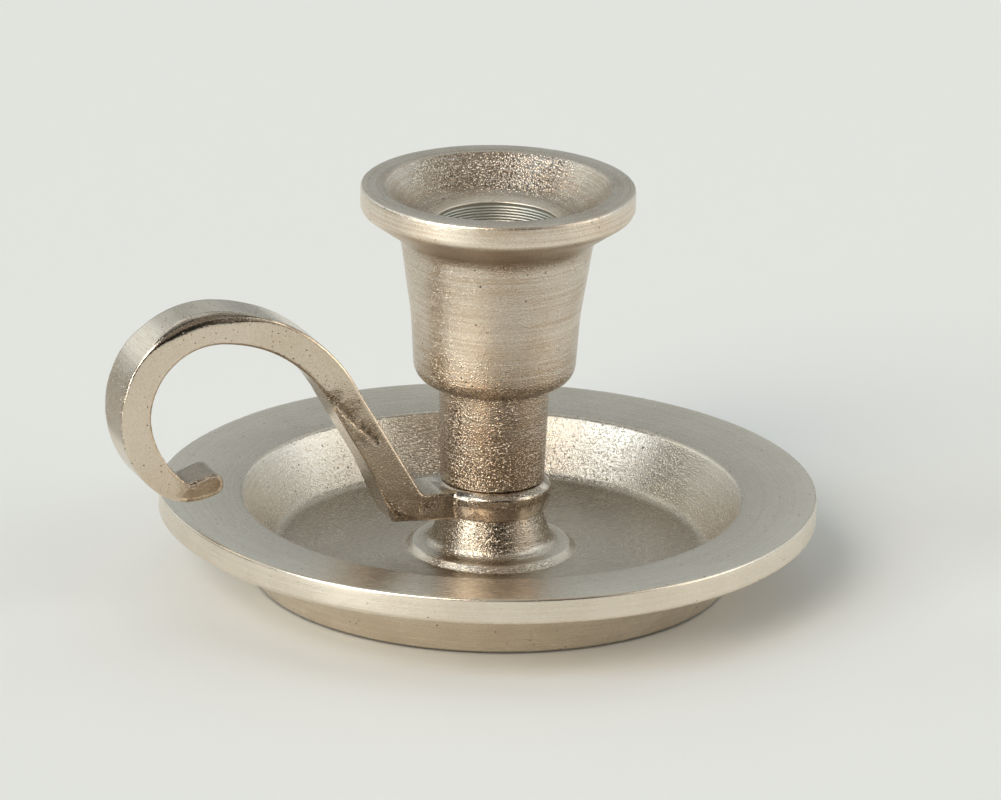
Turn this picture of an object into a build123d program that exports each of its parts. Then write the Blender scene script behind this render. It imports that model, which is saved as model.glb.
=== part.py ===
from build123d import *
import os

# Chamberstick with a finger loop: a sand-cast drip dish, a cast strap handle with a
# collar, and a turned candle socket. One screw from beneath clamps the collar between
# the dish's central boss and the socket's shoulder. Millimetres, +Z up, table at z = 0.
# Every piece is drawn about the candle's axis and moved to the part's frame at the end.

os.makedirs("parts", exist_ok=True)

# Shared by several pieces
overrun = 1.0                 # how far a cut runs past the face that it opens
edge_break = 0.5              # small rounding on edges dressed with a file

# Candle socket: the taper that it holds, and the turned cup round it
bore_r = 11.2                 # bore for a 22 mm (7/8 in) taper candle
bore_foot_round = 0.8         # corner at the foot of the bore
cup_height = 37.9             # cup's underside up to the top of the lip
cup_floor = 2.5               # metal between the bore's foot and the cup's underside
flare_depth = 6.8             # lip down to the rim of the bore
lip_inner_r = 21.2            # where the flat lip turns down into the flare
lip_r = 25.4                  # outside of the lip
lip_edge = 4.4                # height of the lip's upright band
lip_round = 1.0               # rounding along the band's top edges
lip_under_round = 1.8         # rounding under the band
flare_knee_r = 15.2           # the flare steepens outside this circle
flare_knee_rise = 1.1         # height of that circle over the rim of the bore
flare_sweep = 6.0             # curve where the flare steepens
neck_r = 18.0                 # cup just under the lip
neck_drop = 9.6               # neck below the top of the lip
waist_r = 15.65               # cup halfway down
waist_share = 0.66            # waist below the top of the lip, as a share of the cup's height
cup_base_r = 14.9             # cup where it starts to round under
cup_round = 4.3               # rounding under the cup
neck_sweep = 4.5              # curve from the neck out to the lip
waist_sweep = 60.0            # long curve down the side of the cup
stem_r = 9.75                 # foot of the stem
stem_draft = 0.55             # the stem is this much wider under the cup
stem_length = 18.85           # cup's underside down to the shoulder
stem_cove = 0.9               # cove between the cup and the stem
spigot_r = 6.0                # peg under the shoulder that centres the collar
spigot_gap = 0.3              # peg stops this far short of the boss
hole_spare = 2.6              # tapped hole goes this far past the screw's point

# Collar and strap: one casting
collar_r = 11.0               # outside of the collar
collar_height = 5.65          # boss up to the socket's shoulder
collar_bevel = 1.2            # bevel round the top, across
collar_bevel_drop = 1.1       # bevel round the top, down
collar_swell = 0.6            # collar is this much smaller at its foot
collar_fit = 0.2              # radial play between the collar and the peg
strap_width = 10.2            # strap across
strap = 6.0                   # strap through its thickness
outer_round = 1.1             # rounding along the strap's outer edges
inner_round = 0.6             # rounding along the strap's inner edges
leg_angle = 59.5              # degrees, leg above level
leg_reach = 15.7              # outer line of the leg crosses the block's top here
leg_length = 27.3             # outer line, block to the start of the arch
arch_r = 32.7                 # outside of the arch
arch_turn = 54.5              # degrees
shoulder_r = 18.5             # outside of the tight bend at the far side
shoulder_turn = 108.0         # degrees
tail_r = 20.0                 # outside of the stretch that runs back in
tail_turn = 46.0              # degrees
tail_inner_r = 19.6           # its inside, which runs on longer so the tail thins
tail_inner_turn = 40.3        # degrees
toe_curl_r = 10.1             # underside of the toe, which turns up again
toe_rise = 23.0               # degrees, toe above level
toe_length = 0.4              # straight underside of the toe
toe_r = 2.4                   # rounded end of the toe
toe_width = 7.4               # toe across
taper_height = 23.0           # strap narrows from this far above the toe
block_drop = 0.35             # top of the root block below the collar's top
block_reach = 21.2            # root block out from the candle's axis
knee_rise = 11.2              # knee under the leg above the root block's foot
knee_round = 14.0             # curve at that knee
block_round = 0.9             # rounding along the block's lower corner
crook_round = 2.0             # curve where the leg leaves the block's top
flat_lean = 45.0              # degrees, the flats ground on the toe and the block, from upright
toe_flat_rise = 11.0          # degrees, the toe's flats rise more steeply than the toe
toe_flat_drop = 1.15          # the toe's flats start this far above the middle of its end
block_flat_fall = 22.4        # degrees, the block's flats fall towards the collar
block_flat_height = 3.2       # the block's flats at its outer end, above its foot

# Drip dish
rim_r = 60.5                  # outside of the rim
rim_height = 16.5             # table to the top of the rim
rim_edge = 5.0                # height of the rim's upright band
rim_round = 0.9               # rounding along both of the band's edges
rim_width = 14.0              # top of the rim, in to the well's mouth
rim_fall = 1.05               # the rim's top falls this far on its way in
mouth_round = 1.2             # soft lip of the well
well_depth = 11.45            # rim's top down to the well's floor
well_lean = 6.7               # the well's side runs in this far on its way down
floor_cove = 2.4              # cove round the floor
skirt_wall = 3.1              # skirt outside the well's mouth, under the rim
skirt_lean = 5.4              # the skirt runs in this far on its way down to the foot
foot_round = 1.0              # rounding of the foot's outer edge
foot_width = 4.6              # flat that rests on the table
foot_recess = 2.0             # hollow inside the foot
boss_r = 14.6                 # low flange round the boss
boss_step = 1.15              # height of that flange
boss_lean = 1.2               # the flange's side runs out this far on its way down
bell_base_r = 11.6            # bell where it leaves the flange
bell_top_r = 9.3              # seat for the collar
bell_height = 7.95            # well's floor up to that seat
bell_cove = 2.2               # cove at the bell's foot
web = 5.0                     # metal under the seat, clamped by the screw
pocket_r = 7.8                # pocket beneath that hides the screw's head

# Clamp screw and its washers
screw_r = 3.0                 # M6
thread_gap = 0.05             # play between the screw and its thread
screw_hole_gap = 0.4          # radial play of the screw in the web
head_r = 6.0
head_height = 3.7
head_dome = 1.6               # rounding of the head's top edge
slot_width = 1.6
slot_depth = 1.9
grip = 11.8                   # screw past the web, into the socket
point_chamfer = 0.7
washer_gap = 0.25             # radial play of the washers on the screw
plain_washer_r = 6.2
plain_washer_thick = 1.6
spring_washer_r = 5.9
spring_washer_thick = 1.6
split_width = 0.8             # cut through the spring washer
split_lean = 25.0             # degrees, cut away from upright

# Radii of the dish, worked out from its rim inwards
mouth_r = rim_r - rim_width
floor_r = mouth_r - well_lean
skirt_r = mouth_r + skirt_wall
foot_r = skirt_r - skirt_lean

# Heights worked out from the table up
floor_z = rim_height - well_depth
seat_z = floor_z + bell_height
web_z = seat_z - web
collar_top = seat_z + collar_height
cup_z = collar_top + stem_length
lip_top = cup_z + cup_height
bore_rim_z = lip_top - flare_depth
bore_foot_z = cup_z + cup_floor
head_top = web_z - plain_washer_thick - spring_washer_thick
point_z = seat_z + grip


def turned(outline):
    """A solid of revolution about the candle's axis, from a closed outline of (radius, height)."""
    return revolve(make_face(Plane.XZ * outline), Axis.Z)


def drip_dish():
    """The casting that stands on the table: foot, skirt, rim, well and central boss."""
    shelf_z = floor_z + boss_step
    outline = FilletPolyline(
        (foot_r - foot_width, 0),
        (foot_r, 0),
        (skirt_r, rim_height - rim_edge),
        (rim_r, rim_height - rim_edge),
        (rim_r, rim_height),
        (mouth_r, rim_height - rim_fall),
        (floor_r, floor_z),
        (boss_r + boss_lean, floor_z),
        (boss_r, shelf_z),
        (bell_base_r, shelf_z),
        (bell_top_r, seat_z),
        (screw_r + screw_hole_gap, seat_z),
        (screw_r + screw_hole_gap, web_z),
        (pocket_r, web_z),
        (pocket_r, foot_recess),
        (foot_r - foot_width, foot_recess),
        radius=[
            edge_break, foot_round, edge_break, rim_round, rim_round, mouth_round, floor_cove,
            0, edge_break, bell_cove, 0, 0, 0, edge_break, edge_break, edge_break,
        ],
        close=True,
    )
    return turned(outline)


def collar():
    """The ring of the handle, clamped between the boss and the socket's shoulder."""
    bore = spigot_r + collar_fit
    outline = FilletPolyline(
        (bore, seat_z),
        (collar_r - collar_swell, seat_z),
        (collar_r, seat_z + collar_height / 2),
        (collar_r, collar_top - collar_bevel_drop),
        (collar_r - collar_bevel, collar_top),
        (bore, collar_top),
        radius=[0, edge_break, collar_height / 2, edge_break, edge_break, 0],
        close=True,
    )
    return turned(outline)


def strap_curves():
    """The strap's side view: its outer curves, its inner curves, and the line at its root."""
    hidden = (spigot_r + collar_fit + collar_r) / 2
    block_top = collar_top - block_drop
    leg_way = Vector(-1, 0).rotate(Axis.Z, -leg_angle)
    leg_foot = Vector(-leg_reach, block_top)
    leg_end = leg_foot + leg_way * leg_length
    outer_root = FilletPolyline((-hidden, block_top), leg_foot, leg_end, radius=crook_round)
    outer_arch = JernArc(leg_end, leg_way, arch_r, arch_turn)
    outer_shoulder = JernArc(outer_arch @ 1, outer_arch % 1, shoulder_r, shoulder_turn)
    outer_tail = JernArc(outer_shoulder @ 1, outer_shoulder % 1, tail_r, tail_turn)
    toe_turn = 180 + leg_angle + toe_rise - arch_turn - shoulder_turn - tail_turn
    toe_curl = JernArc(outer_tail @ 1, outer_tail % 1, toe_curl_r, toe_turn)
    toe_sole = Line(toe_curl @ 1, (toe_curl @ 1) + (toe_curl % 1) * toe_length)
    toe_end = JernArc(toe_sole @ 1, toe_sole % 1, toe_r, 180)

    inner_end = leg_end + leg_way.rotate(Axis.Z, 90) * strap
    inner_arch = JernArc(inner_end, leg_way, arch_r - strap, arch_turn)
    inner_shoulder = JernArc(inner_arch @ 1, inner_arch % 1, shoulder_r - strap, shoulder_turn)
    inner_tail = JernArc(inner_shoulder @ 1, inner_shoulder % 1, tail_inner_r, tail_inner_turn)
    toe_top = Line(toe_end @ 1, inner_tail @ 1)

    knee = inner_end - leg_way * ((inner_end.Y - seat_z - knee_rise) / leg_way.Y)
    inner_root = FilletPolyline(
        inner_end, knee, (-block_reach, seat_z), (-hidden, seat_z), radius=[knee_round, block_round]
    )
    outer = [outer_root, outer_arch, outer_shoulder, outer_tail, toe_curl, toe_sole, toe_end]
    inner = [toe_top, inner_tail, inner_shoulder, inner_arch, inner_root]
    root = [Line(inner_root @ 1, outer_root @ 0)]
    return outer, inner, root


def side_edges(body, curves):
    """The edges along the strap's two sides that follow the given curves of its side view."""
    drawn = [Plane.XZ * edge for curve in curves for edge in curve.edges()]
    near = edge_break / 10
    found = []
    for edge in body.edges():
        middle = edge @ 0.5
        flat = Vertex(middle.X, 0, middle.Z)
        if abs(middle.Y) > near and any(line.distance_to(flat) < near for line in drawn):
            found.append(edge)
    return found


def tail_wedges(lowest):
    """What the taper takes off the strap's sides, from the shoulder down past the toe."""
    wide = strap_width / 2
    foot = lowest - overrun
    wedge = Polyline(
        (toe_width / 2, foot), (wide, foot + taper_height), (wide + overrun, foot + taper_height),
        (wide + overrun, foot), close=True,
    )
    beyond = Plane.YZ.offset(-leg_reach - arch_r)
    solid = extrude(beyond * make_face(wedge), -2 * shoulder_r)
    return solid + mirror(solid, Plane.XZ)


def ground_flats(body, start, rise):
    """The body less a flat on each side, below a line in the side view that rises this steeply."""
    along = Vector(1, 0).rotate(Axis.Z, rise)
    lean = Vector(0, -1).rotate(Axis.Z, flat_lean)
    down = Vector(along.Y, -along.X) * lean.X
    wide = strap_width / 2 if start.X > -leg_reach - arch_r else toe_width / 2
    face = Plane(
        origin=(start.X, -wide, start.Y), x_dir=(along.X, 0, along.Y), z_dir=(down.X, lean.Y, down.Y)
    )
    near = face * Box(4 * strap, 2 * strap, strap, align=(Align.CENTER, Align.CENTER, Align.MIN))
    return body - near - mirror(near, Plane.XZ)


def finger_loop():
    """The handle: collar, root block, strap and toe in one casting."""
    outer, inner, root = strap_curves()
    outline = [edge for curve in outer + inner + root for edge in curve.edges()]
    body = extrude(Plane.XZ * make_face(outline), strap_width / 2, both=True)
    toe_curl = outer[-3]
    body -= tail_wedges(toe_curl.bounding_box().min.Y)
    body = fillet(side_edges(body, outer), outer_round)
    body = fillet(side_edges(body, inner), inner_round)

    toe_end = outer[-1]
    toe_middle = ((toe_end @ 0) + (toe_end @ 1)) / 2
    toe_line = toe_rise + toe_flat_rise
    above = Vector(0, toe_flat_drop).rotate(Axis.Z, toe_line)
    body = ground_flats(body, toe_middle + above, toe_line)
    body = ground_flats(body, Vector(-block_reach, seat_z + block_flat_height), -block_flat_fall)

    bore = Cylinder(spigot_r + collar_fit, collar_height + 2 * overrun)
    return body + collar() - Pos(0, 0, seat_z + collar_height / 2) * bore


def candle_socket():
    """The turned cup: flare, bore for the taper, stem, shoulder and threaded peg."""
    spigot_foot = seat_z + spigot_gap
    thread_r = screw_r + thread_gap
    hole_top = point_z + hole_spare
    outline = FilletPolyline(
        (thread_r, spigot_foot),
        (spigot_r, spigot_foot),
        (spigot_r, collar_top),
        (stem_r, collar_top),
        (stem_r + stem_draft, cup_z),
        (cup_base_r, cup_z),
        (waist_r, lip_top - waist_share * cup_height),
        (neck_r, lip_top - neck_drop),
        (lip_r, lip_top - lip_edge),
        (lip_r, lip_top),
        (lip_inner_r, lip_top),
        (flare_knee_r, bore_rim_z + flare_knee_rise),
        (bore_r, bore_rim_z),
        (bore_r, bore_foot_z),
        (0, bore_foot_z),
        (0, hole_top),
        (thread_r, hole_top),
        radius=[
            0, edge_break, 0, edge_break, stem_cove, cup_round, waist_sweep, neck_sweep, lip_under_round,
            lip_round, lip_round, flare_sweep, edge_break, bore_foot_round, 0, 0, 0,
        ],
        close=True,
    )
    return turned(outline)


def clamp_screw():
    """M6 pan-head screw with a straight slot, driven from beneath the dish."""
    outline = FilletPolyline(
        (0, head_top - head_height),
        (head_r, head_top - head_height),
        (head_r, head_top),
        (screw_r, head_top),
        (screw_r, point_z - point_chamfer),
        (screw_r - point_chamfer, point_z),
        (0, point_z),
        radius=[0, head_dome, 0, 0, 0, 0, 0],
        close=True,
    )
    slot_z = head_top - head_height + slot_depth / 2 - overrun / 2
    slot = Box(2 * (head_r + overrun), slot_width, slot_depth + overrun)
    return turned(outline) - Pos(0, 0, slot_z) * slot


def washer(outer_r, thick, top_z):
    """A flat ring that hangs its top face at a height."""
    ring = Cylinder(outer_r, thick) - Cylinder(screw_r + washer_gap, thick + 2 * overrun)
    return Pos(0, 0, top_z - thick / 2) * ring


def plain_washer():
    """Flat washer against the web."""
    return washer(plain_washer_r, plain_washer_thick, web_z)


def spring_washer():
    """Split washer between the flat washer and the screw's head."""
    top_z = web_z - plain_washer_thick
    ring = washer(spring_washer_r, spring_washer_thick, top_z)
    tall = 2 * (spring_washer_thick + overrun)
    cut = Box(spring_washer_r + overrun, split_width, tall, align=(Align.MIN, Align.CENTER, Align.CENTER))
    place = Pos(0, 0, top_z - spring_washer_thick / 2) * Rot(split_lean, 0, 0)
    return ring - place * cut


pieces = {
    "drip_dish": drip_dish(),
    "finger_loop": finger_loop(),
    "candle_socket": candle_socket(),
    "clamp_screw": clamp_screw(),
    "spring_washer": spring_washer(),
    "plain_washer": plain_washer(),
}

# The part's frame stands at the middle of the whole outline on the table, so the candle's
# axis lies a little to the +X side of it, by half of what the handle reaches past the rim.
reach = -pieces["finger_loop"].bounding_box().min.X
axis_x = (reach - rim_r) / 2

for name, piece in pieces.items():
    export_step(Pos(axis_x, 0, 0) * piece, "parts/" + name + ".step")

print("candle axis at x", round(axis_x, 4), "handle reach", round(reach, 4))
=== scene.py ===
import math

import bmesh
import bpy
import numpy as np
from mathutils import Matrix, Vector, noise


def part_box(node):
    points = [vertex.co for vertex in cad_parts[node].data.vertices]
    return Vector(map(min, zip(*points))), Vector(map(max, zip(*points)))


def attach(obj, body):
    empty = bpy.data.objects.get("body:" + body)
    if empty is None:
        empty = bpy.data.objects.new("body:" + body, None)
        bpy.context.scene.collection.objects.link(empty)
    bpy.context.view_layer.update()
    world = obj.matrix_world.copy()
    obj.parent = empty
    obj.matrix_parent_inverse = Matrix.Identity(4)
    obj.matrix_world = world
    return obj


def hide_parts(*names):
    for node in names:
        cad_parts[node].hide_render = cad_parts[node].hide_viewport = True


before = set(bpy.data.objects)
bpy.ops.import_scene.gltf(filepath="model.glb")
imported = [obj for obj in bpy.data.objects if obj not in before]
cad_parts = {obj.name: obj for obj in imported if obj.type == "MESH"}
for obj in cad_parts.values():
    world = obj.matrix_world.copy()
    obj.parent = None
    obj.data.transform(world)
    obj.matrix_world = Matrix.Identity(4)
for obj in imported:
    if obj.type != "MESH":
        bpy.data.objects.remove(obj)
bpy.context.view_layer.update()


# Drip dish
# A sand casting that stands on the table: foot ring, skirt, flat rim, conical well and a bell
# boss in the middle. Rim and band are dressed smooth, the rest keeps its cast skin, and the
# whole is nickel plated.

mm = 0.001
dish_low, dish_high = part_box("drip_dish")
candle_axis = Vector(((dish_low.x + dish_high.x) / 2, 0, 0))
rim_r = (dish_high.x - dish_low.x) / 2
cast_skin = 0.12 * mm            # unevenness of the sand's print, on faces left as cast
smooth_skin = 0.02 * mm
weld_gap = 0.001 * mm            # points nearer than this are one point


def put(tree, kind, inputs=None, **settings):
    """Adds a node with its settings, and wires or sets the inputs that are named."""
    made = tree.nodes.new(kind)
    for name, value in settings.items():
        setattr(made, name, value)
    for key, value in (inputs or {}).items():
        if isinstance(value, bpy.types.NodeSocket):
            tree.links.new(value, made.inputs[key])
        else:
            made.inputs[key].default_value = value
    return made


def smoothstep(low, high, value):
    """How far the value has risen from low to high, with soft ends."""
    share = np.clip((value - low) / (high - low), 0, 1)
    return share * share * (3 - 2 * share)


def maths(tree, operation, *values):
    """The result of a Math node, added to the tree."""
    return put(tree, "ShaderNodeMath", dict(enumerate(values)), operation=operation).outputs[0]


def turning_tree(name, corners, closed):
    """Geometry Nodes that turn a rounded outline about the candle's axis.

    Each corner is a vector of its radius, the unevenness of its skin and its height. A skin below
    nought marks a reamed face, which stays even."""
    tree = bpy.data.node_groups.new(name, "GeometryNodeTree")
    tree.interface.new_socket("Turned", in_out="OUTPUT", socket_type="NodeSocketGeometry")
    sizes = [
        ("Axis", "NodeSocketVector"), ("Facets round", "NodeSocketInt"), ("Row height", "NodeSocketFloat"),
        ("Facets in a rounding", "NodeSocketInt"), ("Lump size", "NodeSocketFloat"),
        ("Seed", "NodeSocketFloat"), ("Finish", "NodeSocketMaterial"),
    ]
    for corner in corners:
        sizes += [(corner, "NodeSocketVector"), (corner + " rounding", "NodeSocketFloat")]
    for title, kind in sizes:
        tree.interface.new_socket(title, in_out="INPUT", socket_type=kind)
    given = put(tree, "NodeGroupInput").outputs

    def chosen(data_type, titles):
        """The value that belongs to each point's own corner."""
        switch = put(tree, "GeometryNodeIndexSwitch", data_type=data_type)
        while len(switch.index_switch_items) < len(titles):
            switch.index_switch_items.new()
        tree.links.new(put(tree, "GeometryNodeInputIndex").outputs[0], switch.inputs[0])
        for place, title in enumerate(titles):
            tree.links.new(given[title], switch.inputs[place + 1])
        return switch.outputs[0]

    line = put(tree, "GeometryNodeMeshLine", {"Count": len(corners)})
    curve = put(tree, "GeometryNodeMeshToCurve", {"Mesh": line.outputs[0]}).outputs[0]
    cyclic = put(tree, "GeometryNodeSetSplineCyclic", {"Geometry": curve, "Cyclic": closed}).outputs[0]
    place = chosen("VECTOR", list(corners))
    outline = put(tree, "GeometryNodeSetPosition", {"Geometry": cyclic, "Position": place}).outputs[0]
    rounded = put(
        tree, "GeometryNodeFilletCurve",
        {"Curve": outline, "Radius": chosen("FLOAT", [corner + " rounding" for corner in corners]),
         "Count": given["Facets in a rounding"], "Limit Radius": True},
        mode="POLY",
    ).outputs[0]

    index = put(tree, "GeometryNodeInputIndex").outputs[0]
    position = put(tree, "GeometryNodeInputPosition").outputs[0]
    points = put(tree, "GeometryNodeAttributeDomainSize", {"Geometry": rounded}, component="CURVE")
    following = maths(tree, "MODULO", maths(tree, "ADD", index, 1.0), points.outputs["Point Count"])
    ahead = put(
        tree, "GeometryNodeFieldAtIndex", {"Value": position, "Index": following}, data_type="FLOAT_VECTOR"
    ).outputs[0]
    run = put(tree, "ShaderNodeVectorMath", {0: ahead, 1: position}, operation="DISTANCE").outputs["Value"]
    cuts = maths(tree, "FLOOR", maths(tree, "DIVIDE", run, given["Row height"]))
    rows_curve = put(tree, "GeometryNodeSubdivideCurve", {"Curve": rounded, "Cuts": cuts}).outputs[0]

    size = put(tree, "GeometryNodeAttributeDomainSize", {"Geometry": rows_curve}, component="CURVE")
    row_count = size.outputs["Point Count"]
    grid_rows = maths(tree, "ADD", row_count, 1.0) if closed else row_count
    columns = maths(tree, "ADD", given["Facets round"], 1.0)
    grid = put(
        tree, "GeometryNodeMeshGrid",
        {"Size X": 1.0, "Size Y": 1.0, "Vertices X": columns, "Vertices Y": grid_rows},
    ).outputs[0]
    spread = put(tree, "ShaderNodeSeparateXYZ", {0: position}).outputs
    turn = maths(tree, "MULTIPLY", maths(tree, "ADD", spread[0], 0.5), math.tau)
    gaps = maths(tree, "SUBTRACT", grid_rows, 1.0)
    row = maths(tree, "ROUND", maths(tree, "MULTIPLY", maths(tree, "ADD", spread[1], 0.5), gaps))
    sampled = put(
        tree, "GeometryNodeSampleIndex",
        {"Geometry": rows_curve, "Value": position, "Index": maths(tree, "MODULO", row, row_count)},
        data_type="FLOAT_VECTOR",
    ).outputs[0]
    radius, skin, height = put(tree, "ShaderNodeSeparateXYZ", {0: sampled}).outputs
    around = put(
        tree, "ShaderNodeCombineXYZ",
        {0: maths(tree, "MULTIPLY", radius, maths(tree, "COSINE", turn)),
         1: maths(tree, "MULTIPLY", radius, maths(tree, "SINE", turn)), 2: height},
    ).outputs[0]
    at = put(tree, "ShaderNodeVectorMath", {0: around, 1: given["Axis"]}, operation="ADD").outputs[0]
    kept_skin = put(
        tree, "GeometryNodeStoreNamedAttribute",
        {"Geometry": grid, "Name": "skin", "Value": skin}, data_type="FLOAT", domain="POINT",
    ).outputs[0]
    turned = put(tree, "GeometryNodeSetPosition", {"Geometry": kept_skin, "Position": at}).outputs[0]
    seamless = put(
        tree, "GeometryNodeMergeByDistance", {"Geometry": turned, "Distance": weld_gap},
    ).outputs[0]

    lumps = put(
        tree, "ShaderNodeTexNoise",
        {"Vector": position, "W": given["Seed"],
         "Scale": maths(tree, "DIVIDE", 1.0, given["Lump size"]), "Detail": 3.0},
        noise_dimensions="4D",
    ).outputs[0]
    sink = maths(tree, "SUBTRACT", lumps, 1.0)
    kept = put(tree, "GeometryNodeInputNamedAttribute", {"Name": "skin"}, data_type="FLOAT").outputs[0]
    here = maths(tree, "MAXIMUM", kept, 0.0)
    offset = put(
        tree, "ShaderNodeVectorMath",
        {0: put(tree, "GeometryNodeInputNormal").outputs[0], "Scale": maths(tree, "MULTIPLY", sink, here)},
        operation="SCALE",
    ).outputs[0]
    uneven = put(tree, "GeometryNodeSetPosition", {"Geometry": seamless, "Offset": offset}).outputs[0]
    smooth = put(tree, "GeometryNodeSetShadeSmooth", {"Geometry": uneven}).outputs[0]
    real = put(tree, "GeometryNodeRealizeInstances", {"Geometry": smooth}).outputs[0]
    coated = put(
        tree, "GeometryNodeSetMaterial", {"Geometry": real, "Material": given["Finish"]},
    ).outputs[0]
    put(tree, "NodeGroupOutput", {0: coated})
    return tree


def turned_piece(name, corners, finish, closed=False, facets=288, row=0.8 * mm, rounding_facets=6,
                 lump=6 * mm, seed=1.0):
    """A plain mesh turned from corners: a name, radius, height, rounding and skin for each."""
    tree = turning_tree(name + "_turning", [corner[0] for corner in corners], closed)
    host = bpy.data.objects.new(name + "_host", bpy.data.meshes.new(name + "_host"))
    bpy.context.scene.collection.objects.link(host)
    modifier = host.modifiers.new("turning", "NODES")
    modifier.node_group = tree
    values = {
        "Axis": candle_axis, "Facets round": facets, "Row height": row,
        "Facets in a rounding": rounding_facets, "Lump size": lump, "Seed": seed, "Finish": finish,
    }
    for title, radius, height, rounding, skin in corners:
        values[title] = Vector((radius, skin, height))
        values[title + " rounding"] = rounding
    for socket in tree.interface.items_tree:
        if socket.in_out == "INPUT":
            modifier[socket.identifier] = values[socket.name]
    host.update_tag()
    ready = host.evaluated_get(bpy.context.evaluated_depsgraph_get())
    mesh = bpy.data.meshes.new_from_object(ready)
    piece = bpy.data.objects.new(name, mesh)
    bpy.context.scene.collection.objects.link(piece)
    host.modifiers.remove(modifier)
    bpy.data.objects.remove(host)
    return piece


def nickel_coat(name, bright, dull, dark, polish, roughcast, grain=0.4, grain_depth=0.04,
                fine_depth=0.012, pit_spacing=0.9, pit_share=0.6, pit_depth=0.1, brushing=0.002,
                brush_pitch=0.12, contact_shade_height=0.0, bare_pits=1.0):
    """Nickel plate over a casting, in millimetres about the candle's axis.

    The skin attribute says how much of the sand's grain is left; elsewhere the metal is brushed,
    and below nought it is freshly reamed. The stain and shade attribute darkens places, for real
    stains and for painted shade, and the contact shade height paints a contact shadow, dark at the
    table and gone at that height above it. Bare pits is the share of the pits that dressed faces keep."""
    bored_colour = (0.66, 0.66, 0.60, 1)
    bored_roughness = 0.12       # added to the dressed faces' own
    material = bpy.data.materials.new(name)
    material.use_nodes = True
    tree = material.node_tree
    shader = tree.nodes["Principled BSDF"]
    shader.inputs["Metallic"].default_value = 1.0
    from_axis = put(tree, "ShaderNodeVectorMath", {
        0: put(tree, "ShaderNodeTexCoord").outputs["Object"], 1: candle_axis,
    }, operation="SUBTRACT").outputs[0]
    at = put(tree, "ShaderNodeVectorMath", {0: from_axis, "Scale": 1000.0}, operation="SCALE").outputs[0]
    skin = put(tree, "ShaderNodeAttribute", attribute_name="skin").outputs["Fac"]
    cast = put(tree, "ShaderNodeMapRange", {"Value": skin, "From Max": cast_skin}).outputs[0]
    reamed = put(tree, "ShaderNodeMapRange", {"Value": skin, "From Max": -cast_skin}).outputs[0]
    stain_and_shade = put(tree, "ShaderNodeAttribute", attribute_name="stain_and_shade").outputs["Fac"]

    def noise_of(vector, scale, detail=2.0, roughness=0.5):
        return put(tree, "ShaderNodeTexNoise", {
            "Vector": vector, "Scale": scale, "Detail": detail, "Roughness": roughness,
        }).outputs[0]

    def spread(value, low, high, to_low=0.0, to_high=1.0):
        """The value, eased from one range to another."""
        return put(tree, "ShaderNodeMapRange", {
            "Value": value, "From Min": low, "From Max": high, "To Min": to_low, "To Max": to_high,
        }, interpolation_type="SMOOTHSTEP").outputs[0]

    def grains_of(size):
        """Domes of uneven width and height, about a size apart."""
        cells = put(tree, "ShaderNodeTexVoronoi", {"Vector": at, "Scale": 1 / size}).outputs
        own = put(tree, "ShaderNodeSeparateColor", {0: cells["Color"]}).outputs
        wide = maths(tree, "MULTIPLY_ADD", own[0], 0.3, 0.4)
        dome = spread(maths(tree, "DIVIDE", cells["Distance"], wide), 0.0, 1.0, 1.0, 0.0)
        return maths(tree, "MULTIPLY", dome, maths(tree, "MULTIPLY_ADD", own[1], 0.7, 0.3))

    patches = noise_of(at, 0.11, 3.0)
    clusters = noise_of(at, 0.23, 2.0)
    fine = noise_of(at, 3.6, 2.0, 0.6)
    grains = maths(tree, "MULTIPLY_ADD", grains_of(0.6 * grain), 0.45, grains_of(grain))
    ragged = put(tree, "ShaderNodeVectorMath", {
        0: put(tree, "ShaderNodeTexNoise", {"Vector": at, "Scale": 2.5}).outputs["Color"],
        1: (0.5, 0.5, 0.5), 2: at,
    }, operation="MULTIPLY_ADD").outputs[0]
    pores = put(tree, "ShaderNodeTexVoronoi", {"Vector": ragged, "Scale": 1 / pit_spacing}).outputs
    chance = put(tree, "ShaderNodeSeparateColor", {0: pores["Color"]}).outputs
    left = maths(tree, "MULTIPLY_ADD", cast, pit_share * (1 - bare_pits), pit_share * bare_pits)
    pitted_share = maths(tree, "MULTIPLY", spread(clusters, 0.4, 0.65), left)
    chosen = maths(tree, "LESS_THAN", chance[0], pitted_share)
    wide = maths(tree, "MULTIPLY_ADD", chance[1], 0.16, 0.12)
    pit = maths(tree, "MULTIPLY", chosen, spread(
        maths(tree, "DIVIDE", pores["Distance"], wide), 0.4, 1.0, 1.0, 0.0))

    place = put(tree, "ShaderNodeSeparateXYZ", {0: at}).outputs
    turn = maths(tree, "ARCTAN2", place[1], place[0])
    radius = put(tree, "ShaderNodeVectorMath", {
        0: put(tree, "ShaderNodeCombineXYZ", {0: place[0], 1: place[1]}).outputs[0],
    }, operation="LENGTH").outputs["Value"]
    rings = put(tree, "ShaderNodeCombineXYZ", {
        0: maths(tree, "DIVIDE", radius, brush_pitch), 1: maths(tree, "MULTIPLY", turn, 1.5),
        2: maths(tree, "DIVIDE", place[2], brush_pitch),
    }).outputs[0]
    lines = noise_of(rings, 1.0, 2.0, 0.6)
    streaks = noise_of(rings, 0.33, 2.0, 0.6)
    drawn_out = put(tree, "ShaderNodeMapping", {
        "Vector": at, "Rotation": (0, 0, 0.35), "Scale": (0.07, 4.5, 4.5)}).outputs[0]
    scratch = spread(noise_of(drawn_out, 1.0, 1.0), 0.69, 0.73)

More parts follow.
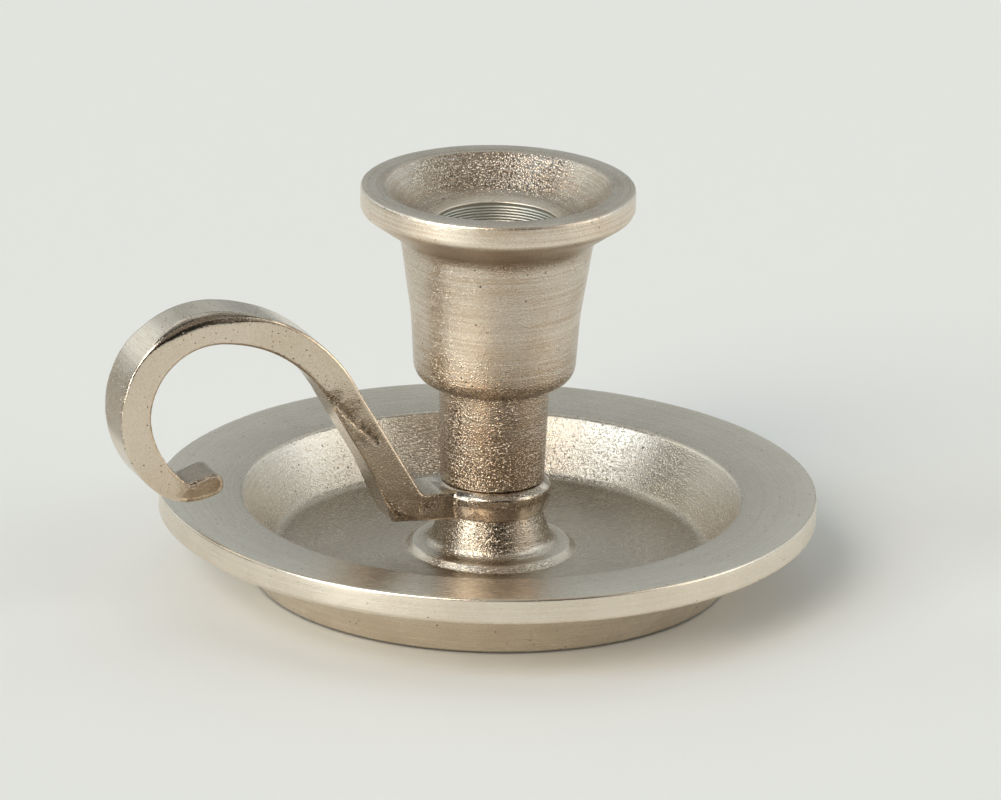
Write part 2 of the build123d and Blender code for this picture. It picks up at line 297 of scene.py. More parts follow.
    brushed = put(tree, "ShaderNodeBump", {"Height": lines, "Distance": brushing * mm}).outputs[0]
    rubbed = maths(tree, "MULTIPLY_ADD", cast, 0.4, 0.6)
    finely = put(tree, "ShaderNodeBump", {
        "Height": maths(tree, "MULTIPLY", fine, rubbed), "Distance": fine_depth * mm, "Normal": brushed,
    }).outputs[0]
    depth = maths(tree, "MULTIPLY", maths(tree, "MULTIPLY_ADD", patches, 0.8, 0.6), cast)
    grained = put(tree, "ShaderNodeBump", {
        "Height": maths(tree, "MULTIPLY", grains, depth), "Distance": grain_depth * mm,
        "Normal": finely,
    }).outputs[0]
    pitted = put(tree, "ShaderNodeBump", {
        "Height": maths(tree, "SUBTRACT", 1.0, pit), "Distance": pit_depth * mm, "Normal": grained,
    }).outputs[0]
    tree.links.new(pitted, shader.inputs["Normal"])

    speckles = spread(fine, 0.3, 0.7, -0.35, 0.35)
    mottled = maths(tree, "ADD", spread(patches, 0.3, 0.7, 0.45, 1.0), speckles)
    streaked = maths(tree, "ADD", mottled, spread(streaks, 0.35, 0.65, -0.3, 0.3))
    shade = maths(tree, "MULTIPLY_ADD", cast, -0.6, streaked)
    plated = put(tree, "ShaderNodeMix", {0: shade, 6: dull, 7: bright},
                 data_type="RGBA", clamp_factor=True).outputs[2]
    hollow = maths(tree, "MULTIPLY", cast, spread(grains, 0.0, 0.5, 0.5, 0.0))
    # Real stains and painted shade alike come in through the stain and shade attribute.
    spotty_stain_and_shade = maths(tree, "MULTIPLY", stain_and_shade, spread(fine, 0.25, 0.6, 1.0, 0.55))
    # Painted contact shadow: dark at the table, fading out at the contact shade height above it.
    all_stain_and_shade = maths(tree, "MAXIMUM", spotty_stain_and_shade, spread(place[2], 0.0, max(contact_shade_height, 0.01), 0.9, 0.0))
    hollow_stain_and_shade = maths(tree, "MAXIMUM", hollow, all_stain_and_shade)
    darkened = maths(tree, "MAXIMUM", hollow_stain_and_shade, maths(tree, "MULTIPLY", pit, 0.95))
    coloured = put(tree, "ShaderNodeMix", {0: darkened, 6: plated, 7: dark}, data_type="RGBA").outputs[2]
    bored = put(tree, "ShaderNodeMix", {0: reamed, 6: coloured, 7: bored_colour},
                data_type="RGBA").outputs[2]
    tree.links.new(bored, shader.inputs["Base Color"])
    skin_gloss = maths(tree, "ADD", maths(tree, "MULTIPLY_ADD", cast, roughcast - polish, polish),
                       maths(tree, "MULTIPLY", reamed, bored_roughness))
    worn = maths(tree, "MULTIPLY_ADD", maths(tree, "SUBTRACT", patches, 0.5), 0.14, skin_gloss)
    combed = maths(tree, "MULTIPLY_ADD", maths(tree, "SUBTRACT", lines, 0.5), 0.10, worn)
    gloss = maths(tree, "MULTIPLY_ADD", scratch, 0.18, combed)
    tree.links.new(gloss, shader.inputs["Roughness"])
    return material


# The dish's contact shade height paints a contact shadow over the lowest 0.8 mm of its foot.
dish_finish = nickel_coat(
    "dish_nickel", bright=(0.80, 0.715, 0.60, 1), dull=(0.70, 0.61, 0.49, 1),
    dark=(0.10, 0.07, 0.045, 1), polish=0.27, roughcast=0.24, grain=0.40, grain_depth=0.10,
    fine_depth=0.03, brushing=0.0006, contact_shade_height=0.8, pit_share=0.95, bare_pits=0.15,
)

rim_height = 16.5 * mm
floor_top = rim_height - 11.45 * mm
mouth_top = rim_height - 1.05 * mm
well_mouth_r = rim_r - 14.0 * mm
well_floor_r = well_mouth_r - 6.7 * mm
skirt_r = well_mouth_r + 3.1 * mm
foot_r = skirt_r - 5.4 * mm
foot_width = 4.6 * mm
foot_recess = 2 * mm
band = 5 * mm
flange_r = 14.6 * mm
shelf = floor_top + 1.15 * mm
seat = floor_top + 7.95 * mm
web_foot = seat - 5 * mm
bell_foot_r = 11.6 * mm
bell_top_r = 9.3 * mm
screw_hole_r = 3.4 * mm
pocket_r = 7.8 * mm

dish = turned_piece("drip_dish_cast", [
    ("Foot inside", foot_r - foot_width, 0, 0.5 * mm, 0),
    ("Foot outside", foot_r, 0, 1.0 * mm, 0),
    ("Skirt top", skirt_r, rim_height - band, 0.5 * mm, 0.35 * cast_skin),
    ("Band foot", rim_r, rim_height - band, 0.9 * mm, 0),
    ("Band top", rim_r, rim_height, 0.45 * mm, 0),
    ("Well mouth", well_mouth_r, mouth_top, 1.2 * mm, 0.4 * cast_skin),
    ("Well floor edge", well_floor_r, floor_top, 2.4 * mm, cast_skin),
    ("Flange foot", flange_r + 1.2 * mm, floor_top, 0.6 * mm, 0.7 * cast_skin),
    ("Flange top", flange_r, shelf, 0.5 * mm, 0.3 * cast_skin),
    ("Bell foot", bell_foot_r, shelf, 2.2 * mm, 0.7 * cast_skin),
    ("Bell top", bell_top_r, seat, 0.2 * mm, cast_skin),
    ("Screw hole top", screw_hole_r, seat, 0, 0),
    ("Screw hole foot", screw_hole_r, web_foot, 0, 0),
    ("Pocket top", pocket_r, web_foot, 0, 0),
    ("Pocket mouth", pocket_r, foot_recess, 0.5 * mm, smooth_skin),
    ("Recess edge", foot_r - foot_width, foot_recess, 0.5 * mm, cast_skin),
], dish_finish, closed=True, seed=3.0)

place = np.empty(3 * len(dish.data.vertices))
dish.data.vertices.foreach_get("co", place)
place = place.reshape(-1, 3)
from_axis = place - np.array(candle_axis)
out = np.hypot(from_axis[:, 0], from_axis[:, 1])
handle_side = math.radians(157.8)    # the way in which the rim bulges
bulge_spread = math.radians(36)
bulge_depth = 1.45 * mm
bell_shade = 0.32
aside = np.arctan2(from_axis[:, 1], from_axis[:, 0]) - handle_side
aside = np.abs((aside + math.pi) % math.tau - math.pi)
bulge = bulge_depth * (1 - smoothstep(0, bulge_spread, aside)) * smoothstep(44 * mm, 60 * mm, out)
place[:, 0] += bulge * math.cos(handle_side)
place[:, 1] += bulge * math.sin(handle_side)
dish.data.vertices.foreach_set("co", place.ravel())
# Painted shade: the bell is coloured darker all over, for the dark room that it reflects.
on_bell = (1 - smoothstep(10.8 * mm, 12.2 * mm, out)) * smoothstep(shelf, shelf + 1.2 * mm, place[:, 2])
shaded_bell = dish.data.attributes.new("stain_and_shade", "FLOAT", "POINT")
shaded_bell.data.foreach_set("value", (bell_shade * on_bell).astype(np.float32))
dish.data.update()
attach(dish, "root")
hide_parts("drip_dish")


# Candle socket
# A casting turned on a lathe: flared lip, tapering cup, round stem and a peg that goes through
# the handle's ring. The bore takes a taper candle and shows fine turning rings.

socket_low, socket_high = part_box("candle_socket")
lip_top = socket_high.z
lip_r = (socket_high.x - socket_low.x) / 2
collar_top = seat + 5.65 * mm
cup_foot = lip_top - 37.9 * mm
bore_rim = lip_top - 6.8 * mm
bore_r = 11.2 * mm
stem_r = 9.75 * mm
peg_r = 6 * mm
thread_r = 3.05 * mm
peg_end = seat + 0.3 * mm
thread_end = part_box("clamp_screw")[1].z + 2.6 * mm
bore_foot = cup_foot + 2.5 * mm
mark_count = 8
mark_pitch = 0.55 * mm
mark_depth = 0.11 * mm
lowest_mark = 5.0 * mm           # below the bore's rim

socket_finish = nickel_coat(
    "socket_nickel", bright=(0.83, 0.75, 0.64, 1), dull=(0.63, 0.50, 0.37, 1),
    dark=(0.09, 0.06, 0.04, 1), polish=0.40, roughcast=0.13, grain=0.42, grain_depth=0.16,
    fine_depth=0.035, brushing=0.002, bare_pits=0.3,
)
mark_profile = [(0, 0), (0, 0.26 * mm), (mark_depth, 0.36 * mm), (mark_depth, 0.46 * mm)]
tool_marks = [
    (f"Tool mark {ring} {step}", bore_r + deep, bore_rim - (lowest_mark - mark_pitch * ring - rise), 0,
     -cast_skin)
    for ring in range(mark_count) for step, (deep, rise) in enumerate(mark_profile)
]
socket_outline = [
    ("Bore foot centre", 0, bore_foot, 0, 0),
    ("Bore foot", bore_r, bore_foot, 0.8 * mm, -cast_skin),
] + tool_marks + [
    ("Bore rim", bore_r, bore_rim, 0.25 * mm, 0),
    ("Flare knee", 15.2 * mm, bore_rim + 1.1 * mm, 6 * mm, cast_skin),
    ("Lip inside", 21.2 * mm, lip_top, 1.0 * mm, 0.5 * cast_skin),
    ("Lip top", lip_r, lip_top, 0.6 * mm, 0.25 * cast_skin),
    ("Lip foot", lip_r, lip_top - 4.4 * mm, 1.8 * mm, 0),
    ("Neck", 18 * mm, lip_top - 9.6 * mm, 4.5 * mm, 0.5 * cast_skin),
    ("Waist", 15.65 * mm, lip_top - 25 * mm, 60 * mm, 0.3 * cast_skin),
    ("Cup foot", 14.9 * mm, cup_foot, 4.3 * mm, 0.8 * cast_skin),
    ("Stem top", stem_r + 0.55 * mm, cup_foot, 0.9 * mm, cast_skin),
    ("Shoulder", stem_r, collar_top, 0.5 * mm, 0.9 * cast_skin),
    ("Peg top", peg_r, collar_top, 0, 0),
    ("Peg foot", peg_r, peg_end, 0.5 * mm, 0),
    ("Thread mouth", thread_r, peg_end, 0, 0),
    ("Thread end", thread_r, thread_end, 0, 0),
    ("Thread end centre", 0, thread_end, 0, 0),
]
socket = turned_piece("candle_socket_turned", socket_outline[::-1], socket_finish, seed=7.0)
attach(socket, "root")
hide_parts("candle_socket")


# Finger loop
# The handle, one sand casting: a ring that the screw clamps under the socket, a root block, and a
# flat strap that rises, arches over and curls back to a rounded toe. Its faces were ground by
# hand after casting, which left the outer front edge well rounded, and then nickel plated.

strap_width = 10.2 * mm
strap_thick = 6 * mm
leg_lean = 59.5                  # degrees above level, and the turns below are degrees too
leg_angle = math.radians(leg_lean)
leg_reach = 15.7 * mm            # outer line of the leg crosses the block's top here
leg_length = 27.3 * mm
arch_r = 32.7 * mm
arch_turn = 54.5
shoulder_r = 18.5 * mm
shoulder_turn = 108
tail_r = 20 * mm
tail_turn = 46
tail_inner_r = 19.6 * mm
tail_inner_turn = 40.3
toe_curl_r = 10.1 * mm
toe_curl_turn = 54
toe_length = 0.4 * mm
toe_r = 2.4 * mm
toe_width = 7.4 * mm
taper_height = 23 * mm           # strap narrows from this far above the toe
crook_round = 2 * mm
block_drop = 0.35 * mm
block_reach = 21.2 * mm
block_round = 0.9 * mm
knee_rise = 11.2 * mm
knee_round = 14 * mm
ring_top = collar_top
ring_foot = seat
ring_r = 11.0 * mm
ring_bore = 6.2 * mm
voxel = 0.26 * mm


def traced(start, heading, runs, step=0.4 * mm):
    """Points along a line of straight runs and bends in the loop's side view.

    A run or bend is its length and how far it turns anticlockwise, in radians."""
    points = [np.array(start, float)]
    for length, turn in runs:
        parts = max(2, math.ceil(length / step))
        for part in range(parts):
            middle = heading + turn * (part + 0.5) / parts
            chord = length / parts
            if turn:
                chord *= math.sin(turn / parts / 2) / (turn / parts / 2)
            points.append(points[-1] + chord * np.array([math.cos(middle), math.sin(middle)]))
        heading += turn
    return np.array(points)


def bend(radius, degrees):
    """A run's length and turn, for a bend of this radius."""
    return radius * math.radians(abs(degrees)), math.radians(degrees)


leg_heading = math.pi - leg_angle
block_top = ring_top - block_drop
hidden_r = 8.4 * mm
crook_cut = crook_round * math.tan(leg_angle / 2)
outer = traced((-hidden_r, block_top), math.pi, [
    (leg_reach - hidden_r - crook_cut, 0), bend(crook_round, -leg_lean), (leg_length - crook_cut, 0),
    bend(arch_r, arch_turn), bend(shoulder_r, shoulder_turn), bend(tail_r, tail_turn),
    bend(toe_curl_r, toe_curl_turn), (toe_length, 0), bend(toe_r, 180),
])
leg_end = np.array([-leg_reach, block_top]) + leg_length * np.array(
    [math.cos(leg_heading), math.sin(leg_heading)])
leg_side = np.array([math.cos(leg_heading + math.pi / 2), math.sin(leg_heading + math.pi / 2)])
inner_end = leg_end + strap_thick * leg_side
knee_height = ring_foot + knee_rise
knee = inner_end - np.array([math.cos(leg_heading), math.sin(leg_heading)]) * (
    (inner_end[1] - knee_height) / math.sin(leg_heading))
block_foot = np.array([-block_reach, ring_foot])
down = knee - block_foot
block_heading = math.atan2(down[1], down[0])
knee_turn = leg_heading - block_heading
knee_cut = knee_round * math.tan(abs(knee_turn) / 2)
corner_cut = block_round * math.tan((math.pi - block_heading) / 2)
inner = traced((-hidden_r, ring_foot), math.pi, [
    (block_reach - hidden_r - corner_cut, 0),
    bend(block_round, math.degrees(block_heading - math.pi)),
    (np.linalg.norm(down) - corner_cut - knee_cut, 0), bend(knee_round, math.degrees(knee_turn)),
    (np.linalg.norm(inner_end - knee) - knee_cut, 0), bend(arch_r - strap_thick, arch_turn),
    bend(shoulder_r - strap_thick, shoulder_turn), bend(tail_inner_r, tail_inner_turn),
])
side_view = np.concatenate([outer, inner[::-1]])


def strap_layers(outline, rounding, layers=9):
    """The strap's skin across its width: the outline, drawn in towards both rounded sides."""
    ahead = np.roll(outline, -1, axis=0) - np.roll(outline, 1, axis=0)
    ahead /= np.linalg.norm(ahead, axis=1)[:, None]
    inward = np.stack([-ahead[:, 1], ahead[:, 0]], axis=1)
    lowest = outline[:, 1][outline[:, 0] < -50 * mm].min()
    taper = np.clip((outline[:, 1] - lowest) / taper_height, 0, 1)
    half = np.where(outline[:, 0] < -48 * mm, toe_width / 2 + taper * (strap_width - toe_width) / 2,
                    strap_width / 2)
    rings = []
    for side, depth in ((-1, rounding), (1, np.minimum(rounding, 1.2 * mm))):
        turns = np.linspace(0, math.pi / 2, layers)
        for turn in turns[::-1] if side < 0 else turns:
            place = outline + inward * (depth * (1 - math.cos(turn)))[:, None]
            across = side * (half - depth * (1 - math.sin(turn)))
            rings.append(np.stack([place[:, 0], across, place[:, 1]], axis=1))
    return rings


along = np.arange(len(side_view))
on_outer = along < len(outer)
away = -side_view[:, 0]
worn_arch = smoothstep(43 * mm, 56 * mm, away) * (1 - smoothstep(64 * mm, 71 * mm, away))
worn_arch *= on_outer * (side_view[:, 1] > 44 * mm)
toe_bevel = on_outer * smoothstep(0, 6 * mm, 25 * mm - side_view[:, 1]) * (away > 50 * mm)
block_bevel = (~on_outer) * (side_view[:, 1] < 16 * mm) * smoothstep(13 * mm, 21 * mm, away)
edge_round = 0.45 * mm
worn_round = 1.9 * mm            # more on the worn arch, and on the toe
block_flat = 1.8 * mm            # more on the block's lower edge
near_round = edge_round + worn_round * worn_arch + worn_round * toe_bevel + block_flat * block_bevel
near_round = sum(np.roll(near_round, shift) for shift in range(-6, 7)) / 13
rings = strap_layers(side_view, near_round)
count = len(side_view)
loop_points = np.concatenate(rings) + np.array(candle_axis)
loop_faces = [
    (row * count + place, row * count + (place + 1) % count,
     (row + 1) * count + (place + 1) % count, (row + 1) * count + place)
    for row in range(len(rings) - 1) for place in range(count)
]
loop_faces.append(tuple(reversed(range(count))))
loop_faces.append(tuple(range((len(rings) - 1) * count, len(rings) * count)))
strap_mesh = bpy.data.meshes.new("strap")
strap_mesh.from_pydata(loop_points.tolist(), [], loop_faces)
strap_body = bpy.data.objects.new("strap", strap_mesh)
bpy.context.scene.collection.objects.link(strap_body)

loop_finish = nickel_coat(
    "loop_nickel", bright=(0.79, 0.69, 0.57, 1), dull=(0.68, 0.565, 0.43, 1), dark=(0.085, 0.055, 0.035, 1),
    polish=0.17, roughcast=0.20, grain=0.42, grain_depth=0.13, fine_depth=0.02, brushing=0.001,
    pit_spacing=0.75, pit_share=0.8,
)
ring_body = turned_piece("ring", [
    ("Bore foot", ring_bore, ring_foot, 0, 0),
    ("Foot", ring_r - 0.6 * mm, ring_foot, 0.5 * mm, 0),
    ("Middle", ring_r, ring_foot + 2.8 * mm, 2.8 * mm, 0),
    ("Bevel foot", ring_r, ring_top - 1.1 * mm, 0.5 * mm, 0),
    ("Bevel top", ring_r - 1.2 * mm, ring_top, 0.5 * mm, 0),
    ("Bore top", ring_bore, ring_top, 0, 0),
], loop_finish, closed=True)

both = bmesh.new()
for body in (strap_body, ring_body):
    both.from_mesh(body.data)
    bpy.data.objects.remove(body)
bmesh.ops.recalc_face_normals(both, faces=both.faces)
rough_mesh = bpy.data.meshes.new("loop_rough")
both.to_mesh(rough_mesh)
both.free()
rough_body = bpy.data.objects.new("loop_rough", rough_mesh)
bpy.context.scene.collection.objects.link(rough_body)
remesh = rough_body.modifiers.new("fused", "REMESH")
remesh.mode = "VOXEL"
remesh.voxel_size = voxel
evened = rough_body.modifiers.new("evened", "SMOOTH")
evened.factor = 0.5
evened.iterations = 3
ready = rough_body.evaluated_get(bpy.context.evaluated_depsgraph_get())
loop_mesh = bpy.data.meshes.new_from_object(ready)
bpy.data.objects.remove(rough_body)

place = np.empty(3 * len(loop_mesh.vertices))
loop_mesh.vertices.foreach_get("co", place)
place = place.reshape(-1, 3)
normal = np.empty(3 * len(loop_mesh.vertices))
loop_mesh.vertex_normals.foreach_get("vector", normal)
normal = normal.reshape(-1, 3)


def unevenness(points, size, seed):
    """A seeded noise between 0 and 1 at each point."""
    start = Vector((seed, 2.3 * seed, -seed))
    return np.array([0.5 + 0.5 * noise.noise(Vector(point / size) + start) for point in points])


def near(centre, reach):
    """How near each point of the loop lies to a place in its side view."""
    away = np.hypot(out - centre[0] * mm, place[:, 2] - centre[1] * mm)
    return 1 - smoothstep(0, reach * mm, away)


out = candle_axis.x - place[:, 0]
face_out = -normal[:, 0]
shoulder_patch = smoothstep(66 * mm, 71 * mm, out) * smoothstep(33 * mm, 37 * mm, place[:, 2])
shoulder_patch *= 1 - smoothstep(45 * mm, 49 * mm, place[:, 2])
shoulder_patch *= smoothstep(0.35, 0.7, face_out)
seam_lumps = near((14.2, 16.8), 3.6) * smoothstep(10.2 * mm, 10.9 * mm, out)
leg_rough = np.maximum(near((30.3, 36), 3.2), near((33.5, 39), 2.4))
leg_rough = np.maximum(leg_rough, 0.8 * near((27.5, 31), 3.0))
toe_notch = near((61, 25.2), 2.2)
# The toe's upper inside keeps its cast skin, and is also coloured darker as painted shade.
inside_toe = smoothstep(50 * mm, 54 * mm, out) * (1 - smoothstep(30 * mm, 33 * mm, place[:, 2]))
inside_toe *= smoothstep(0.1, 0.4, normal[:, 2])


def near_line(corners, reach):
    """How near each point of the loop lies to a broken line in its side view."""
    best = np.full(len(place), 1.0)
    spot = np.stack([out, place[:, 2]], axis=1)
    for start, end in zip(corners, corners[1:]):
        start = np.array(start) * mm
        run = np.array(end) * mm - start
        share = np.clip((spot - start) @ run / (run @ run), 0, 1)
        best = np.minimum(best, np.linalg.norm(spot - start - share[:, None] * run, axis=1))
    return 1 - smoothstep(0.3 * reach * mm, reach * mm, best)


cold_lap = near_line([(45.2, 48.2), (36.7, 40.8), (32.1, 37), (24.9, 30)], 1.0)
cold_lap *= smoothstep(0.2, 0.6, -normal[:, 1]) * smoothstep(0.3, 0.45, unevenness(place, 1.1 * mm, 6))
# Painted reflection: a dark band along the arch's worn front edge, where it mirrors the dark room.
dark_edge = near_line([(67, 53.5), (61.2, 56.2), (54, 57.2), (47, 55.4)], 2.0)
dark_edge *= smoothstep(0.1, 0.4, -normal[:, 1]) * smoothstep(0.15, 0.4, normal[:, 2])
# Painted shade on the leg's underside.
under_leg = smoothstep(0.3, 0.6, face_out) * (1 - smoothstep(38 * mm, 46 * mm, place[:, 2]))
under_leg *= 1 - smoothstep(40 * mm, 46 * mm, out)
# Painted shade on the toe's front face.
toe_face = near((55.5, 21.8), 4.5) * smoothstep(0.2, 0.5, -normal[:, 1])
# The lower leg is a little rougher, and coloured a little darker as painted shade.
lower_leg = (1 - smoothstep(22 * mm, 34 * mm, place[:, 2])) * smoothstep(12 * mm, 16 * mm, out)
lower_leg *= 1 - smoothstep(38 * mm, 44 * mm, out)
facet_slope = 0.469
facet_top = 12.8 * mm + facet_slope * (out - 14 * mm)
block_corner = smoothstep(0, 0.4 * mm, facet_top - place[:, 2]) * smoothstep(0.1, 0.4, -normal[:, 1])
block_corner *= smoothstep(13 * mm, 15 * mm, out) * (1 - smoothstep(22.5 * mm, 24 * mm, out))
# The ring: its smut is real, and it is also coloured darker all over as painted shade, which dims the
# window's highlight on it.
on_ring = 1 - smoothstep(11.2 * mm, 12 * mm, out)
ring_smut = on_ring * smoothstep(0.5, 0.65, unevenness(place, 3 * mm, 2))
rough_share = np.clip(
    0.13 + shoulder_patch + seam_lumps + leg_rough + toe_notch + inside_toe + cold_lap + 0.2 * lower_leg
    + block_corner + 0.5 * ring_smut, 0, 1)
# Most of this is painted shade: the ring, the lower leg, the leg's underside, the toe's upper inside and
# face, and the arch's worn edge are coloured darker for the dark room that they reflect. The cold lap and
# the ring's smut are real stains. The block's front facet is coloured dark as well.
stain_and_shade = np.clip(0.95 * cold_lap + 0.45 * inside_toe + 0.16 * lower_leg + block_corner
                  + 0.36 * on_ring + 0.4 * ring_smut + 0.75 * dark_edge + 0.22 * under_leg
                  + 0.5 * toe_face, 0, 1)
sink = 0.10 * mm * unevenness(place, 7 * mm, 3)
sink += 0.16 * mm * shoulder_patch * unevenness(place, 1.3 * mm, 5)
sink += 0.45 * mm * seam_lumps * unevenness(place, 1.5 * mm, 9)
sink += 0.22 * mm * leg_rough * unevenness(place, 1.2 * mm, 4)
sink += 0.25 * mm * cold_lap
sink *= smoothstep(ring_bore + 0.3 * mm, ring_bore + 1.5 * mm, np.hypot(out, place[:, 1]))
moved = place - normal * sink[:, None]
loop_mesh.vertices.foreach_set("co", moved.ravel())
kept_skin = loop_mesh.attributes.new("skin", "FLOAT", "POINT")
kept_skin.data.foreach_set("value", (cast_skin * rough_share).astype(np.float32))
kept_stain_and_shade = loop_mesh.attributes.new("stain_and_shade", "FLOAT", "POINT")
kept_stain_and_shade.data.foreach_set("value", stain_and_shade.astype(np.float32))
loop_mesh.materials.clear()
loop_mesh.materials.append(loop_finish)
loop_mesh.polygons.foreach_set("use_smooth", [True] * len(loop_mesh.polygons))
loop_mesh.update()
loop = bpy.data.objects.new("finger_loop_cast", loop_mesh)
bpy.context.scene.collection.objects.link(loop)
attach(loop, "root")
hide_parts("finger_loop")


# Clamp screw and washers
# A pan-head M6 screw with a sawn slot, a split spring washer and a flat washer, in bright steel.
# They sit in the pocket under the dish, and pull socket, ring and dish together.

steel = bpy.data.materials.new("screw_steel")
steel.use_nodes = True
steel_tree = steel.node_tree
steel_shader = steel_tree.nodes["Principled BSDF"]
steel_shader.inputs["Metallic"].default_value = 1.0
lines_to_a_metre = 9000.0
stains_to_a_metre = 420.0
steel_at = put(steel_tree, "ShaderNodeVectorMath", {
    0: put(steel_tree, "ShaderNodeTexCoord").outputs["Object"], 1: candle_axis,
}, operation="SUBTRACT").outputs[0]
steel_place = put(steel_tree, "ShaderNodeSeparateXYZ", {0: steel_at}).outputs
steel_out = put(steel_tree, "ShaderNodeVectorMath", {
    0: put(steel_tree, "ShaderNodeCombineXYZ", {0: steel_place[0], 1: steel_place[1]}).outputs[0],
}, operation="LENGTH").outputs["Value"]
turning = put(steel_tree, "ShaderNodeCombineXYZ", {
    0: maths(steel_tree, "MULTIPLY", steel_out, lines_to_a_metre),
    1: maths(steel_tree, "ARCTAN2", steel_place[1], steel_place[0]),
    2: maths(steel_tree, "MULTIPLY", steel_place[2], lines_to_a_metre),
}).outputs[0]
tool_lines = put(steel_tree, "ShaderNodeTexNoise", {
    "Vector": turning, "Scale": 1.0, "Detail": 2.0,
}).outputs[0]
stains = put(steel_tree, "ShaderNodeTexNoise", {
    "Vector": steel_at, "Scale": stains_to_a_metre, "Detail": 4.0,
}).outputs[0]
cleaner = put(steel_tree, "ShaderNodeMapRange", {
    "Value": stains, "From Min": 0.35, "From Max": 0.65,
}).outputs[0]
steel_colour = put(steel_tree, "ShaderNodeMix", {
    0: cleaner, 6: (0.50, 0.48, 0.45, 1), 7: (0.64, 0.63, 0.61, 1),
}, data_type="RGBA").outputs[2]
steel_tree.links.new(steel_colour, steel_shader.inputs["Base Color"])
stained_gloss = maths(steel_tree, "MULTIPLY_ADD", stains, 0.2, 0.1)
steel_gloss = maths(steel_tree, "MULTIPLY_ADD", tool_lines, 0.22, stained_gloss)
steel_tree.links.new(steel_gloss, steel_shader.inputs["Roughness"])
steel_bump = put(steel_tree, "ShaderNodeBump", {"Height": tool_lines, "Distance": 0.008 * mm}).outputs[0]
steel_tree.links.new(steel_bump, steel_shader.inputs["Normal"])
for name in ("clamp_screw", "spring_washer", "plain_washer"):
    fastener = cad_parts[name]
    for material_slot in fastener.material_slots:
        material_slot.material = steel


# Camera, floor and light
# The picture is taken with a long lens from a little above, handle to the left. The light is a
# dim room, with a window and soft boxes at the front left and screens on the right.

view_turn = math.radians(-22.2)
view_rise = math.radians(18.75)
view_roll = math.radians(1.25)
view_far = 1.663
picture_width = 1001
picture_scale = 5400          # picture points to a metre at the aim
aim = candle_axis + Vector((0, 0, 40.45 * mm))
aim_off = Vector((6.0, 34.8)) / picture_scale

back = Vector((math.sin(view_turn) * math.cos(view_rise), -math.cos(view_turn) * math.cos(view_rise),
               math.sin(view_rise)))
side = Vector((math.cos(view_turn), math.sin(view_turn), 0))
upward = back.cross(side)
rolled_side = side * math.cos(view_roll) + upward * math.sin(view_roll)
rolled_up = upward * math.cos(view_roll) - side * math.sin(view_roll)
eye = aim + back * view_far
look = (aim + rolled_side * aim_off.x - rolled_up * aim_off.y - eye).normalized()
right = look.cross(rolled_up).normalized()
true_up = right.cross(look)
camera_data = bpy.data.cameras.new("picture")
camera_data.sensor_width = 36
camera_data.lens = picture_scale * view_far * camera_data.sensor_width / picture_width
camera_data.clip_start = 0.05
camera = bpy.data.objects.new("picture", camera_data)
camera.matrix_world = Matrix((
    (right.x, true_up.x, -look.x, eye.x), (right.y, true_up.y, -look.y, eye.y),
    (right.z, true_up.z, -look.z, eye.z), (0, 0, 0, 1),
))
bpy.context.scene.collection.objects.link(camera)
bpy.context.scene.camera = camera

floor_mesh = bpy.data.meshes.new("floor")
floor_half = 6.0
floor_mesh.from_pydata(
    [(-floor_half, -floor_half, 0), (floor_half, -floor_half, 0), (floor_half, floor_half, 0),
     (-floor_half, floor_half, 0)], [], [(0, 1, 2, 3)],
)
floor = bpy.data.objects.new("floor", floor_mesh)
floor_gap = 0.02 * mm            # keeps the floor off the foot ring's own face
floor.location.z = -floor_gap
bpy.context.scene.collection.objects.link(floor)
floor_paint = bpy.data.materials.new("floor_paint")
floor_paint.use_nodes = True
floor_shader = floor_paint.node_tree.nodes["Principled BSDF"]
floor_shader.inputs["Base Color"].default_value = (0.83, 0.825, 0.79, 1)
floor_shader.inputs["Roughness"].default_value = 0.6
floor_mesh.materials.append(floor_paint)


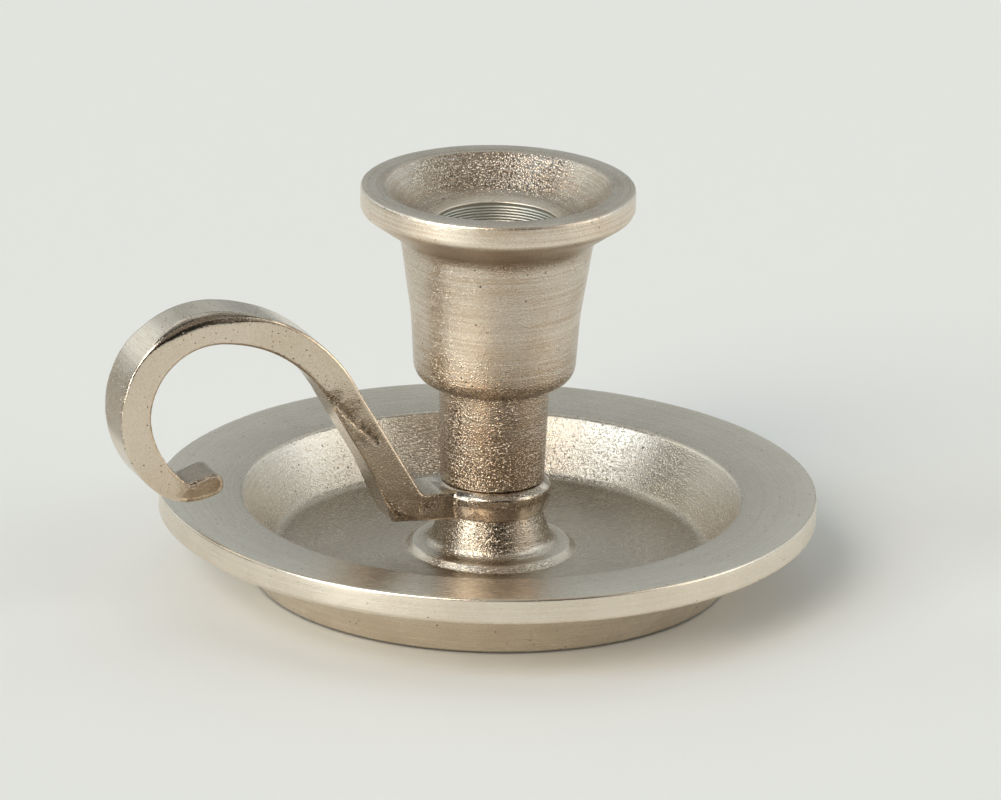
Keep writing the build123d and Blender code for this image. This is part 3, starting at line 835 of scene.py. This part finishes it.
world = bpy.data.worlds.new("studio")
bpy.context.scene.world = world
world.use_nodes = True
sky = world.node_tree
facing = put(sky, "ShaderNodeTexCoord").outputs["Generated"]
glow = (0.02, 0.02, 0.02)        # of the room between its patches of light
white = Vector((0.94, 0.985, 0.975))
pale_wall = Vector((0.9, 0.985, 1.01))
warm = Vector((1.1, 0.985, 0.85))
cool = Vector((0.88, 0.985, 1.08))
wall_reach = 28                  # degrees from a patch's middle to where it has faded out
screen_reach = 16
full_share = 0.55                # of its reach, up to where a patch is at full strength
patches_of_light = [
    (turn, rise, wall_reach, pale_wall * strength)
    for turn, strength in ((180, 0.3), (135, 0.55), (-135, 0.55)) for rise in (7, 33)
]
patches_of_light += [
    (-150, 62, wall_reach, white * 0.4),         # ceiling, at the back
    (150, 62, wall_reach, white * 0.4),
    (30, 62, wall_reach, warm * 0.3),            # and at the front
    (-110, 36, screen_reach, white * 1.25),      # screen on the left
    (60, 22, screen_reach, warm * 0.75),         # screens on the right
    (80, 4, screen_reach, warm * 3),
    (80, 40, screen_reach, white * 2),
    (100, 22, screen_reach, cool * 2),
    (-50, 4, screen_reach, white * 13),          # window, front left, low
    (-70, 36, screen_reach, cool * 3.5),         # soft boxes above it
    (-30, 36, screen_reach + 2, warm * 6),
    (-50, 52, screen_reach, cool * 3),
]
for turn, rise, reach, light in patches_of_light:
    way = view_turn + math.radians(turn)
    height = math.radians(rise)
    towards = Vector((
        math.sin(way) * math.cos(height), -math.cos(way) * math.cos(height), math.sin(height),
    ))
    angle = put(sky, "ShaderNodeVectorMath", {0: facing, 1: towards},
                operation="DOT_PRODUCT").outputs["Value"]
    share = put(sky, "ShaderNodeMapRange", {
        "Value": angle, "From Min": math.cos(math.radians(reach)),
        "From Max": math.cos(math.radians(full_share * reach)),
    }, interpolation_type="SMOOTHSTEP").outputs[0]
    lit = put(sky, "ShaderNodeVectorMath", {0: light, "Scale": share}, operation="SCALE").outputs[0]
    glow = put(sky, "ShaderNodeVectorMath", {0: lit, 1: glow}, operation="ADD").outputs[0]
paths = put(sky, "ShaderNodeLightPath")
seen = put(sky, "ShaderNodeBackground", {"Color": (0.80, 0.80, 0.78, 1), "Strength": 1.0})
room = put(sky, "ShaderNodeBackground", {"Color": glow, "Strength": 1.0})
mixed = put(sky, "ShaderNodeMixShader", {
    0: paths.outputs["Is Camera Ray"], 1: room.outputs[0], 2: seen.outputs[0],
})
sky.links.new(mixed.outputs[0], sky.nodes["World Output"].inputs["Surface"])

bpy.context.scene.view_settings.view_transform = "Standard"
